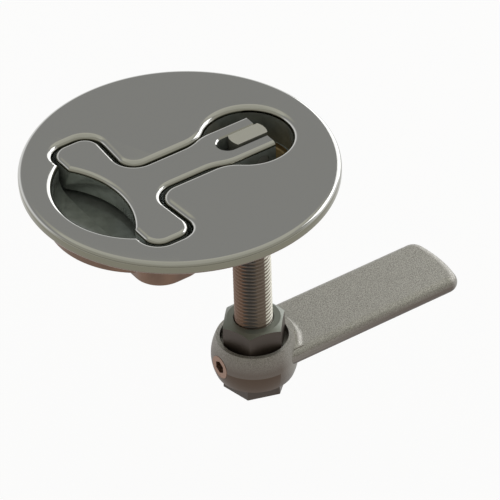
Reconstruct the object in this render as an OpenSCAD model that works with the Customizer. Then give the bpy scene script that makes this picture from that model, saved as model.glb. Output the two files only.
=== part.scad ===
// Round flush lift-and-turn compression latch, cast and turned stainless steel.
// Frame: origin at the centre of the round flange on its seating plane, the panel's
// surface. +Z points out of the panel, +X from the T grip towards the shaft and the
// pawl. The handle lies flush, and the pawl points along +X, its latched position.

/* [Flange] */
// Diameter of the round flange
flange_d = 76.2; // [74:0.1:90]
// Thickness of the flange
flange_t = 3; // [2.4:0.1:4]
// Radius of the flange's rounded top edge
rim_round = 1.3; // [0.6:0.1:1.6]
// Radius of the flange's lower edge
rim_break = 0.6; // [0.2:0.1:0.7]

/* [Handle] */
// Distance from the flange's centre to the shaft's axis
shaft_x = 19.4; // [18.5:0.1:20]
// Distance from the shaft's axis to the far side of the T grip
handle_reach = 41.4; // [40:0.1:42]
// Length of the T grip, end to end
arm_span = 44.8; // [42:0.1:47]
// Width of each arm of the T grip
arm_w = 11.1; // [10:0.1:12]
// Angle at which the arm's inner side leans outwards
arm_flare = 4; // [0:0.5:6]
// Radius of the arm's outer corners
arm_corner = 4; // [3:0.1:4.8]
// Radius that blends the arm into the stem
stem_blend = 5.6; // [5:0.1:6.5]
// Width of the stem
stem_w = 9.6; // [8.6:0.1:10.4]
// Thickness of the T grip and the stem
head_t = 7.2; // [6:0.1:8]
// Radius of the handle's top edges
edge_round = 0.9; // [0.5:0.1:1.1]
// Depth of the finger scoop in the side of the grip
scoop_depth = 4.7; // [3.5:0.1:5.5]
// Radius of the finger scoop
scoop_r = 23.6; // [22:0.1:26]
// How much further the scoop cuts in at the handle's underside
scoop_undercut = 1.3; // [0.4:0.1:2]

/* [Cam fork] */
// Width of the fork
fork_w = 12.8; // [12:0.1:13.4]
// Width of the slot between the fork's ears
slot_w = 5.3; // [4.9:0.1:5.8]
// Distance from the pin to the slot's closed end
slot_reach = 8.3; // [7.6:0.1:8.6]
// Length of the fork's straight sides behind the pin
fork_side = 7; // [6:0.1:8]
// Length of the reverse curve from the fork to the stem
fork_blend = 8.5; // [7.5:0.1:9.5]
// Distance from the pin to the fork's end face, the cam's low point
cam_low = 3.6; // [3.2:0.1:4]
// Distance from the pin to the fork's underside, the cam's high point
cam_high = 5.8; // [5.4:0.1:6.2]
// Distance behind the pin at which the deep fork ends
ramp_end = 3.8; // [3.4:0.1:4.4]
// Distance behind the pin at which the ramp up to the head's underside ends
ramp_start = 7.6; // [7:0.1:8.4]
// Clearance between the cam and the pocket's floor
cam_clear = 0.1; // [0.05:0.05:0.3]

/* [Pivot pin] */
// Diameter of the pivot pin
pin_d = 3.2; // [2.4:0.1:3.6]
// Depth of the pin's axis below the flange's face
pin_depth = 4.15; // [3.8:0.05:4.4]
// How far each end of the pin lies inside the fork's side
pin_inset = 0.1; // [0:0.05:0.4]
// Radial running clearance of the pin and of the shaft
run_clear = 0.05; // [0.02:0.01:0.1]

/* [Pocket] */
// Gap between the handle and the pocket's wall
pocket_gap = 0.9; // [0.8:0.1:1.2]
// Gap between the grip's underside and the pocket's floor
floor_gap = 1.6; // [1.2:0.1:2.2]
// Radius of the pocket's round end about the shaft
end_r = 10.8; // [10.4:0.1:11.4]
// Radius that blends the round end into the channel for the stem
neck_r = 10; // [8:0.5:12]
// Radius of the pocket's top edge
lip_round = 1; // [0.5:0.1:1.1]
// Radius between the round end's wall and its floor
end_round = 0.8; // [0.4:0.1:1.2]
// Wall of the cup
cup_wall = 2; // [1.6:0.1:2.4]

/* [Finger recess] */
// Width of the flat rim between the recess and the flange's edge
recess_rim = 6.3; // [5.5:0.1:7]
// Radius of the recess's rim
recess_r = 20.8; // [20:0.1:22]
// Depth of the recess below the flange's face
recess_depth = 7.5; // [6.5:0.1:8]
// Radius between the recess's wall and its floor
recess_round = 3; // [2:0.5:4]

/* [Fixing bosses] */
// Distance between the two tapped bosses
boss_spacing = 47.6; // [46:0.1:50]
// Diameter of each boss
boss_d = 8.4; // [7.6:0.1:9]
// Length of each boss below the flange
boss_len = 8; // [6:0.5:12]
// Diameter of the tapped hole before threading, for M5
tap_d = 4.2; // [4:0.1:5]
// Depth of the tapped hole
tap_depth = 8.6; // [6:0.2:9]

/* [Shaft] */
// Diameter of the threaded shaft
shaft_d = 9.525; // [9:0.005:10]
// Thickness of the flat tang at the shaft's upper end
tang_t = 4.3; // [4:0.1:4.6]
// How far the tang's top stands above the flange's face
tang_proud = 0.25; // [0:0.05:0.5]
// Depth of the tang's flats below the pocket's floor
tang_below = 1.6; // [1:0.1:2.5]
// Length of the shaft below the lower nut
shaft_tail = 1; // [0:0.5:8]
// Chamfer at the shaft's threaded end
shaft_chamfer = 0.8; // [0.4:0.1:1.2]

/* [Guide sleeve] */
// Outside diameter of the sleeve that guides the shaft
sleeve_d = 18; // [17:0.5:20]
// Length of the sleeve below the cup
sleeve_len = 15; // [12:0.5:18]
// Wall above the seal, where the shaft runs in the casting
sleeve_web = 2.6; // [2:0.1:4]
// Diameter of the seat for the seal and the bush
seat_d = 13; // [12.6:0.1:13.6]
// Thickness of the bush's head
bush_head_t = 1.5; // [1:0.1:2.5]
// Diameter of the bush's head
bush_head_d = 16; // [15:0.5:17]
// Clearance round the seal and the bush
seat_clear = 0.02; // [0.01:0.01:0.05]

/* [Nuts] */
// Width of the nuts across their flats
nut_af = 14.29; // [13:0.01:15]
// Thickness of the upper nut
nut_t = 7.8; // [7:0.01:9]
// Radial width of the chamfer round the nuts' faces
nut_chamfer = 0.5; // [0.2:0.05:0.8]
// Width of the chamfer at the mouth of the nuts' thread
nut_mouth = 0.25; // [0.1:0.05:0.7]
// Thickness of the thin lower nut
thin_nut_t = 3.97; // [3:0.01:6]
// Direction of one corner of the upper nut
nut_turn = -11; // [-30:1:30]
// Direction of one corner of the lower nut
thin_nut_turn = -18; // [-30:1:30]

/* [Pawl] */
// Depth of the pawl's hub rim below the seating plane
pawl_depth = 58; // [50:0.5:70]
// Height of the hub
hub_h = 10.5; // [9.5:0.1:12]
// Radius of the hub's top rim
hub_top_r = 9.5; // [9.2:0.1:10]
// Radius of the hub at its widest
hub_mid_r = 10.8; // [10.4:0.1:12]
// Radius of the hub's lower edge
hub_low_r = 9.8; // [9.4:0.1:10.5]
// Radius of the recess that takes the upper nut
hub_seat_r = 8.5; // [8.4:0.05:8.9]
// Depth of the recess that takes the upper nut
hub_seat_depth = 2.25; // [2:0.05:2.3]
// Reach of the lever from the shaft's axis to its tip
lever_reach = 57; // [40:0.1:70]
// Width of the lever
lever_w = 19.6; // [18:0.1:20]
// Thickness of the lever
lever_t = 4.5; // [3.6:0.1:5.5]
// Depth of the lever's top below the hub's rim
lever_drop = 2.2; // [1.6:0.1:3]
// Radius of the fillet between the hub and the lever's top
hub_fillet = 1.9; // [1:0.1:2]
// Radius of the lever's edges
lever_edge = 2.2; // [1:0.1:2.5]
// Radius of the lever's tip corners
lever_corner = 3.4; // [3:0.1:5]
// Radius of the lever's bowed tip
lever_bow_r = 34; // [25:1:60]

/* [Set screw] */
// Diameter of the set screw
screw_d = 6; // [5:0.05:6]
// Width of the set screw's socket across its flats
socket_af = 3; // [2.5:0.05:3.2]
// Depth of the set screw's socket
socket_depth = 2.6; // [2:0.1:3]
// Length of the set screw's cone point
screw_point = 0.8; // [0.4:0.1:1]
// How far the set screw's face lies inside the hub
screw_sink = 0.35; // [0.2:0.05:0.6]
// Depth of the set screw's axis below the hub's rim
screw_depth = 5.35; // [5.35:0.05:6]

/* [Hidden] */
$fn = 96;
eps = 0.01;
// How far a cutter runs past what it cuts
over = 1;
// How far an edge's cutter reaches past the side and past the face that meet there
edge_side = 0.5;
edge_over = 0.3;
// Segments on each arc of an outline, and on each rounded edge
arc_n = 8;
edge_n = 3;

// Levels, measured from the seating plane
top_z = flange_t;
pin_z = top_z - pin_depth;
head_z = top_z - head_t;
floor_z = head_z - floor_gap;
cam_z = pin_z - cam_high;
end_floor_z = cam_z - cam_clear;
cup_z = floor_z - cup_wall;
end_cup_z = end_floor_z - cup_wall;
recess_z = top_z - recess_depth;
sleeve_z = end_cup_z - sleeve_len;
seat_z = end_floor_z - sleeve_web;
tang_z = end_floor_z - tang_below;
rim_z = -pawl_depth;
nut_seat_z = rim_z - hub_seat_depth;
hub_z = rim_z - hub_h;
lever_z = rim_z - lever_drop;
thin_nut_z = hub_z - thin_nut_t;
shaft_z = thin_nut_z - shaft_tail;
screw_z = rim_z - screw_depth;

// Radius of the lower edges of the sleeve and the bosses
boss_break = 0.5;
// How far the cup's pieces run up into the flange, each to its own height
root = 0.6;
// Step between the pocket's outline and the round walls about the shaft
end_step = 0.2;

// Outline of the handle
flange_r = flange_d / 2;
shaft_r = shaft_d / 2;
head_x = shaft_x - handle_reach;
arm_x = head_x + arm_w;
arm_y = arm_span / 2;
fork_y = fork_w / 2;
stem_y = stem_w / 2;
fork_x = shaft_x + cam_low;
// The cast fork is longer than the finished one, because its end face is cut
fork_spare = 3;
fork_curve_x = shaft_x - fork_side;
curve_a = 2 * atan((fork_y - stem_y) / fork_blend);
curve_r = fork_blend / sin(curve_a) / 2;
// Distance from the arm's end at which its width is measured
arm_gauge = 5.4;
arm_mid_y = arm_y - arm_gauge;
// Radius of the corner where the scoop meets the arm's outer side
scoop_corner = 1.3;
scoop_x = head_x + scoop_depth - scoop_r;
// How far the scoop's cone starts inside the outline's own scoop
scoop_start = 0.1;

// Centre of the recess's dish, and the plane that ends it under the grip
recess_x = recess_r + recess_rim - flange_r;
recess_end = head_x + arm_w / 2;

// Points along an arc from angle a to angle b, in arc_n steps, without its first ones
function arc(c, r, a, b, skip = 0) =
    [for (i = [skip:arc_n]) c + r * [cos(a + (b - a) * i / arc_n), sin(a + (b - a) * i / arc_n)]];

// The same outline's lower half, as the mirror image of its upper half
function mirrored(pts) = [for (i = [len(pts) - 1:-1:0]) [pts[i].x, -pts[i].y]];

// Where the arm's inner side lies at height y, moved outwards by d
function arm_side(y, d) = arm_x + (y - arm_mid_y) * tan(arm_flare) + d / cos(arm_flare);

// Upper half of the stem and the arm, grown by d all round, from the stem's side at
// its blend into the arm to the arm's outer side
function arm_half(d) =
    let (r = stem_blend - d,
         cy = stem_y + stem_blend,
         ey = cy + r * sin(arm_flare),
         cx = arm_side(ey, d) + r * cos(arm_flare),
         oy = arm_y - arm_corner,
         ro = arm_corner + d,
         ox = arm_side(oy - ro * sin(arm_flare), d) - ro * cos(arm_flare))
    concat(arc([cx, cy], r, 270, 180 - arm_flare),
           arc([ox, oy], ro, -arm_flare, 90),
           arc([head_x + arm_corner, oy], ro, 90, 180));

// Upper half of the fork and its reverse curve into the stem, grown by d
function fork_half(d) =
    concat([[fork_x + fork_spare, fork_y + d]],
           arc([fork_curve_x, fork_y - curve_r], curve_r + d, 90, 90 + curve_a),
           arc([fork_curve_x - fork_blend, stem_y + curve_r], curve_r - d,
               curve_a - 90, -90, 1));

// Upper half of the scoop in the grip, as it is at the handle's top
function scoop_half(d) =
    let (rc = scoop_corner + d,
         cx = head_x + scoop_corner,
         rs = scoop_r - d,
         cy = sqrt(pow(rs + rc, 2) - pow(cx - scoop_x, 2)),
         a = atan2(cy, cx - scoop_x))
    concat(arc([cx, cy], rc, 180, 180 + a), arc([scoop_x, 0], rs, a, 0, 1));

// Whole outline of the handle
function handle_outline(d) =
    let (half = concat(fork_half(d), arm_half(d), scoop_half(d)))
    concat(half, mirrored([for (i = [0:len(half) - 2]) half[i]]));

// Upper half of the pocket's round end and its neck, grown by d
function end_half(d) =
    let (y = stem_y + pocket_gap,
         reach = sqrt(pow(end_r + neck_r, 2) - pow(y + neck_r, 2)),
         a = atan2(y + neck_r, -reach))
    concat(arc([shaft_x, 0], end_r + d, 0, a),
           arc([shaft_x - reach, y + neck_r], neck_r - d, a - 180, -90, 1));

// Outline of the pocket, grown by d
function pocket_outline(d) =
    let (half = concat(end_half(d), arm_half(pocket_gap + d)))
    concat(half, mirrored([for (i = [1:len(half) - 1]) half[i]]));

// A solid through outlines of equal length, each at its own height, from below upwards
module skin(layers, heights) {
    n = len(layers[0]);
    m = len(layers);
    pts = [for (k = [0:m - 1]) each [for (p = layers[k]) [p.x, p.y, heights[k]]]];
    sides = [for (k = [0:m - 2]) each [for (i = [0:n - 1])
        let (a = k * n + i, b = k * n + (i + 1) % n)
        each [[a, a + n, b], [b, a + n, b + n]]]];
    polyhedron(pts, concat([[for (i = [0:n - 1]) i]], sides,
        [[for (i = [n - 1:-1:0]) (m - 1) * n + i]]), convexity = 8);
}

// A ring round an outline, which joins each layer to the next, and the last to the first
module ring(layers, heights) {
    n = len(layers[0]);
    m = len(layers);
    pts = [for (k = [0:m - 1]) each [for (p = layers[k]) [p.x, p.y, heights[k]]]];
    polyhedron(pts, [for (k = [0:m - 1]) each [for (i = [0:n - 1])
        let (a = k * n + i, b = k * n + (i + 1) % n,
             c = (k + 1) % m * n + i, d = (k + 1) % m * n + (i + 1) % n)
        each [[a, c, b], [b, c, d]]]], convexity = 8);
}

// Corners across a rounded edge of radius r, from the wall to the face: how far each lies
// inside the wall and below the face. The first and the last lie a little outside.
function edge_corners(r) =
    let (p = [for (i = [0:edge_n]) let (t = 90 * i / edge_n) [r * (1 - cos(t)), r * (sin(t) - 1)]],
         spill = 0.2)
    [for (i = [0:edge_n])
        i == 0 ? p[0] + spill * (p[0] - p[1])
        : i == edge_n ? p[i] + spill * (p[i] - p[i - 1])
        : p[i]];

// A round solid with its lower and its upper outer edge rounded, or sharp at 0
module disc(r, z0, z1, low, high) {
    rotate_extrude()
        polygon(concat([[0, z0]],
            low == 0 ? [[r, z0]]
            : [for (i = [0:6]) [r - low + low * sin(15 * i), z0 + low - low * cos(15 * i)]],
            high == 0 ? [[r, z1]]
            : [for (i = [0:6]) [r - high + high * cos(15 * i), z1 - high + high * sin(15 * i)]],
            [[0, z1]]));
}

// The pocket as a cutter, with a deeper floor for the cam
module pocket_cut() {
    translate([0, 0, floor_z])
        linear_extrude(top_z - floor_z + over)
        polygon(pocket_outline(0));
    translate([shaft_x, 0, 0])
        disc(end_r - end_step, end_floor_z, floor_z + over, end_round, 0);
}

// What rounds the pocket's lip
module lip_cut() {
    corners = edge_corners(lip_round);
    ring(concat([for (p = corners) pocket_outline(p.x)], [pocket_outline(-edge_side)]),
         concat([for (p = corners) top_z + p.y], [top_z + edge_over]));
}

// The finger recess as a cutter: a dish about its own centre, kept on the grip's side
module recess_cut() {
    intersection() {
        translate([recess_x, 0, 0])
            rotate_extrude()
            polygon(concat([[0, floor_z]],
                [for (i = [0:6]) [recess_r - recess_round + recess_round * sin(15 * i),
                    recess_z + recess_round - recess_round * cos(15 * i)]],
                [for (i = [0:4]) [recess_r + lip_round * (1 - cos(22.5 * i)),
                    top_z - lip_round + lip_round * sin(22.5 * i)]],
                [[recess_r + lip_round, top_z + over], [0, top_z + over]]));
        translate([-flange_r, -flange_r, floor_z - over])
            cube([flange_r + recess_end, flange_d, flange_r]);
    }
}

// Cup under the flange: the pocket's outline grown by the wall
module cup() {
    translate([0, 0, cup_z])
        linear_extrude(root - cup_z)
        polygon(pocket_outline(cup_wall));
}

// Shell under the finger recess
module recess_shell() {
    intersection() {
        translate([recess_x, 0, 0])
            disc(recess_r + cup_wall, recess_z - cup_wall, 2 * root, 0, 0);
        translate([-flange_r, -flange_r, -flange_r])
            cube([flange_r + recess_end, flange_d, flange_r + 2 * root]);
    }
}

module housing() {
    color([0.62, 0.62, 0.61])
    difference() {
        union() {
            disc(flange_r, 0, top_z, rim_break, rim_round);
            cup();
            recess_shell();
            translate([shaft_x, 0, 0]) {
                disc(end_r + cup_wall + end_step, end_cup_z, 3 * root, 0, 0);
                disc(sleeve_d / 2, sleeve_z, 0, boss_break, 0);
            }
            for (s = [-1, 1])
                translate([0, s * boss_spacing / 2, 0])
                    disc(boss_d / 2, -boss_len, root, boss_break, 0);
        }
        pocket_cut();
        recess_cut();
        lip_cut();
        translate([shaft_x, 0, sleeve_z - over]) {
            cylinder(h = end_floor_z - sleeve_z + 2 * over, r = shaft_r + run_clear);
            cylinder(h = seat_z - sleeve_z + over, d = seat_d);
        }
        for (s = [-1, 1])
            translate([0, s * boss_spacing / 2, -boss_len - over])
                cylinder(h = tap_depth + over, d = tap_d, $fn = 32);
    }
}

// Depth of the cam below the pin when the handle has turned through a degrees: it falls
// evenly from the underside to the end face, so its edge is an involute
cam_rate = (cam_high - cam_low) / 90;
function cam_depth(a) = cam_high - cam_rate * a;
function cam_point(a) =
    let (k = cam_rate * 180 / PI)
    cam_depth(a) * [sin(a), -cos(a)] - k * [cos(a), sin(a)];

// Side view of the handle: the thin head, the ramp to the deep fork, and the cam
module handle_side() {
    step_z = head_z - pin_z;
    polygon(concat([[-handle_reach - over, step_z], [-handle_reach - over, pin_depth + over],
                    [cam_low, pin_depth + over]],
                   [for (i = [12:-1:0]) cam_point(7.5 * i)],
                   [[-ramp_end, -cam_high], [-ramp_start, step_z]]));
}

// What rounds the handle's top edges
module handle_edge_cut() {
    corners = edge_corners(edge_round);
    ring(concat([handle_outline(edge_side)],
                [for (i = [edge_n:-1:0]) handle_outline(-corners[i].x)]),
         concat([top_z + edge_over], [for (i = [edge_n:-1:0]) top_z + corners[i].y]));
}

module handle() {
    color([0.6, 0.6, 0.59])
    difference() {
        intersection() {
            translate([0, 0, cam_z - over])
                linear_extrude(top_z - cam_z + over)
                polygon(handle_outline(0));
            translate([shaft_x, 0, pin_z])
                rotate([90, 0, 0])
                linear_extrude(arm_span + 2 * over, center = true)
                handle_side();
        }
        handle_edge_cut();
        translate([scoop_x, 0, head_z])
            cylinder(h = head_t - edge_round, r1 = scoop_r + scoop_undercut,
                r2 = scoop_r - scoop_start, $fn = 256);
        translate([shaft_x - slot_reach + slot_w / 2, 0, cam_z - over]) {
            cylinder(h = top_z - cam_z + 2 * over, d = slot_w, $fn = 48);
            translate([0, -slot_w / 2, 0])
                cube([slot_reach + cam_low, slot_w, top_z - cam_z + 2 * over]);
        }
        translate([shaft_x, 0, pin_z])
            rotate([90, 0, 0])
            cylinder(h = fork_w + 2 * over, d = pin_d + 2 * seat_clear, center = true, $fn = 48);
    }
}

module pivot_pin() {
    color([0.7, 0.7, 0.7])
    translate([shaft_x, 0, pin_z])
        rotate([90, 0, 0])
        cylinder(h = fork_w - 2 * pin_inset, d = pin_d, center = true, $fn = 48);
}

module shaft() {
    tang_top = top_z + tang_proud;
    color([0.66, 0.6, 0.56])
    difference() {
        translate([shaft_x, 0, shaft_z]) {
            translate([0, 0, shaft_chamfer])
                cylinder(h = tang_top - shaft_z - shaft_chamfer, r = shaft_r);
            cylinder(h = shaft_chamfer, r1 = shaft_r - shaft_chamfer, r2 = shaft_r);
        }
        for (s = [-1, 1])
            translate([shaft_x - shaft_r - over, s > 0 ? tang_t / 2 : -tang_t / 2 - shaft_r, tang_z])
                cube([shaft_d + 2 * over, shaft_r, tang_top - tang_z + over]);
        translate([shaft_x, 0, pin_z])
            rotate([90, 0, 0])
            cylinder(h = shaft_d, d = pin_d + 2 * run_clear, center = true, $fn = 48);
    }
}

// Section of the seal between the shaft and its seat
seal_inner = shaft_r + run_clear;
seal_w = seat_d / 2 - seat_clear - seal_inner;

module shaft_seal() {
    color([0.1, 0.1, 0.1])
    translate([shaft_x, 0, seat_z - seat_clear - seal_w / 2])
        rotate_extrude()
        translate([seal_inner + seal_w / 2, 0])
        circle(d = seal_w, $fn = 32);
}

module shaft_bush() {
    bush_top = seat_z - seal_w - 4 * seat_clear;
    color([0.92, 0.92, 0.88])
    translate([shaft_x, 0, 0])
        difference() {
            union() {
                translate([0, 0, sleeve_z - eps])
                    cylinder(h = bush_top - sleeve_z + eps, d = seat_d - 2 * seat_clear);
                translate([0, 0, sleeve_z - bush_head_t])
                    cylinder(h = bush_head_t, d = bush_head_d);
            }
            translate([0, 0, sleeve_z - bush_head_t - over])
                cylinder(h = bush_top - sleeve_z + bush_head_t + 2 * over, r = shaft_r + run_clear);
        }
}

// Hexagon nut from z0 upwards, with its upper corners turned off at 30 degrees, and its
// lower ones too where low is true
module nut(z0, t, turn, low) {
    corner_r = nut_af / 2 / cos(30);
    face_r = nut_af / 2 - nut_chamfer;
    bore_r = shaft_r + run_clear;
    rise = (corner_r + over - face_r) * tan(30);
    translate([shaft_x, 0, z0])
        difference() {
            intersection() {
                rotate(turn)
                    cylinder(h = t, r = corner_r, $fn = 6);
                union() {
                    translate([0, 0, t - rise])
                        cylinder(h = rise, r1 = corner_r + over, r2 = face_r);
                    translate([0, 0, low ? rise : 0])
                        cylinder(h = t - rise - (low ? rise : 0), r = corner_r + over);
                    if (low)
                        cylinder(h = rise, r1 = face_r, r2 = corner_r + over);
                }
            }
            translate([0, 0, -over])
                cylinder(h = t + 2 * over, r = bore_r);
            translate([0, 0, t - nut_mouth])
                cylinder(h = nut_mouth + eps, r1 = bore_r, r2 = bore_r + nut_mouth);
        }
}

module upper_nut() {
    color([0.5, 0.5, 0.5]) nut(nut_seat_z, nut_t, nut_turn, true);
}

module lower_nut() {
    color([0.45, 0.42, 0.4]) nut(thin_nut_z, thin_nut_t, thin_nut_turn, false);
}

// Outline of the lever, shrunk by d: straight sides and a bowed tip with round corners
function lever_outline(d) =
    let (y = lever_w / 2,
         c = lever_corner,
         bow = lever_reach - lever_bow_r,
         cy = y - c,
         cx = bow + sqrt(pow(lever_bow_r - c, 2) - pow(cy, 2)),
         a = atan2(cy, cx - bow),
         half = concat(arc([bow, 0], lever_bow_r - d, 0, a), arc([cx, cy], c - d, a, 90, 1),
                       [[0, y - d]]))
    concat(half, mirrored([for (i = [1:len(half) - 1]) half[i]]));

// Lever with its edges rounded above and below
module lever() {
    a = [for (i = [0:edge_n]) 90 * i / edge_n];
    // A thin lever has full round edges
    r = min(lever_edge, lever_t / 2 - eps);
    skin(concat([for (i = [edge_n:-1:0]) lever_outline(r * (1 - cos(a[i])))],
                [for (t = a) lever_outline(r * (1 - cos(t)))]),
         concat([for (i = [edge_n:-1:0]) lever_z - lever_t + r * (1 - sin(a[i]))],
                [for (t = a) lever_z - r + r * sin(t)]));
}

// Radius of the hub's barrel side at the share s of its height, from the top
function hub_radius(s) =
    let (low = hub_top_r + (hub_low_r - hub_top_r) * s)
    low + (hub_mid_r - (hub_top_r + hub_low_r) / 2) * (1 - pow(2 * s - 1, 2));

// Fillet between the hub's side and the lever's top, a little proud of both
module lever_fillet() {
    foot = hub_radius(lever_drop / hub_h) + hub_fillet;
    intersection() {
        rotate_extrude()
            polygon(concat([[shaft_r + over, lever_z - over]],
                [[foot, lever_z - over]],
                [for (i = [0:5]) [foot - hub_fillet * sin(18 * i),
                    lever_z + 2 * eps + hub_fillet * (1 - cos(18 * i))]],
                [[shaft_r + over, lever_z + 2 * eps + hub_fillet]]));
        translate([0, lever_edge - lever_w / 2, lever_z - over])
            cube([foot + over, lever_w - 2 * lever_edge, hub_fillet + 2 * over]);
    }
}

module pawl() {
    color([0.58, 0.56, 0.53])
    difference() {
        translate([shaft_x, 0, 0]) {
            rotate_extrude()
                polygon(concat([[0, hub_z]],
                    [for (i = [12:-1:0]) [hub_radius(i / 12), rim_z - hub_h * i / 12]],
                    [[0, rim_z]]));
            lever();
            lever_fillet();
        }
        translate([shaft_x, 0, 0]) {
            translate([0, 0, nut_seat_z])
                cylinder(h = hub_seat_depth + over, r = hub_seat_r);
            translate([0, 0, hub_z - over])
                cylinder(h = hub_h + 2 * over, r = shaft_r + run_clear);
            translate([0, 0, screw_z])
                rotate([0, -90, 0])
                cylinder(h = hub_mid_r + over, d = screw_d + 2 * seat_clear, $fn = 48);
        }
    }
}

// Set screw through the hub's wall, opposite the lever, its point on the shaft
module set_screw() {
    tip = shaft_r + run_clear;
    face = hub_radius(screw_depth / hub_h) - screw_sink;
    color([0.65, 0.5, 0.42])
    translate([shaft_x, 0, screw_z])
        rotate([0, -90, 0])
        difference() {
            union() {
                translate([0, 0, tip + screw_point])
                    cylinder(h = face - tip - screw_point, d = screw_d, $fn = 48);
                translate([0, 0, tip])
                    cylinder(h = screw_point, d1 = screw_d - 2 * screw_point, d2 = screw_d, $fn = 48);
            }
            translate([0, 0, face - socket_depth])
                cylinder(h = socket_depth + over, d = socket_af / cos(30), $fn = 6);
        }
}

housing();
handle();
pivot_pin();
shaft();
shaft_seal();
shaft_bush();
upper_nut();
pawl();
set_screw();
lower_nut();
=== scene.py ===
"""Round flush lift-and-turn latch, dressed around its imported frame.

The castings are modelled here from the same plan as the solids, with finer curves and
edges, so that their polished faces reflect cleanly. Sizes are in millimetres, in the
frame's own axes: z = 0 is the flange's seating plane, and the latch's fitting pose is kept.
"""

import logging
import math
from dataclasses import dataclass, field
from enum import Enum

import bmesh
import bpy
from mathutils import Matrix, Vector


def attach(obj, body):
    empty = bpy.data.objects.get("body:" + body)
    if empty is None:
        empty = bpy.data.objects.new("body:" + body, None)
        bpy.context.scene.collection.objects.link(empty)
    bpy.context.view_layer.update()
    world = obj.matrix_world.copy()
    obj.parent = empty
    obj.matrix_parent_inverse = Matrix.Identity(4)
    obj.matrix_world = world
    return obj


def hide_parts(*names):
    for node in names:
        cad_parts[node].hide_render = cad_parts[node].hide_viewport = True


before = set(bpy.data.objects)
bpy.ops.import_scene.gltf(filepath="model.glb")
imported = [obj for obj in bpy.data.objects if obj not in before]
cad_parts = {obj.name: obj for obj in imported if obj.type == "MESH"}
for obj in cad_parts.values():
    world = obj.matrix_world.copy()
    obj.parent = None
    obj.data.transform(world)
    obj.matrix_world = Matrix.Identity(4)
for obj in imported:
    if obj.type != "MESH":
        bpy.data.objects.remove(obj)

log = logging.getLogger("latch")

MM = 0.001
Point = tuple[float, float]
Outline = list[Point]


def sin(degrees: float) -> float:
    """Sine of an angle in degrees."""
    return math.sin(math.radians(degrees))


def cos(degrees: float) -> float:
    """Cosine of an angle in degrees."""
    return math.cos(math.radians(degrees))


def srgb(code: str) -> tuple[float, float, float, float]:
    """Turn an sRGB hex colour into linear red, green, blue and alpha.

    Args:
        code: six hex digits, with or without a leading hash.

    Returns:
        The linear colour with an alpha of 1.
    """
    digits = code.lstrip("#")
    channels = [int(digits[i : i + 2], 16) / 255 for i in (0, 2, 4)]
    linear = [c / 12.92 if c <= 0.04045 else ((c + 0.055) / 1.055) ** 2.4 for c in channels]
    return (linear[0], linear[1], linear[2], 1.0)


# Outlines


def arc(cx: float, cy: float, r: float, a: float, b: float, skip: int = 0, steps: int = 24) -> Outline:
    """Points along an arc.

    Args:
        cx: centre along X.
        cy: centre along Y.
        r: radius.
        a: first angle in degrees.
        b: last angle in degrees.
        skip: how many of the first points are left out.
        steps: segments along the whole arc.

    Returns:
        The points from angle a to angle b.
    """
    angles = [a + (b - a) * i / steps for i in range(skip, steps + 1)]
    return [(cx + r * cos(t), cy + r * sin(t)) for t in angles]


def mirrored(points: Outline) -> Outline:
    """The lower half of an outline, as the mirror image of its upper half."""
    return [(x, -y) for x, y in reversed(points)]


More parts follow.
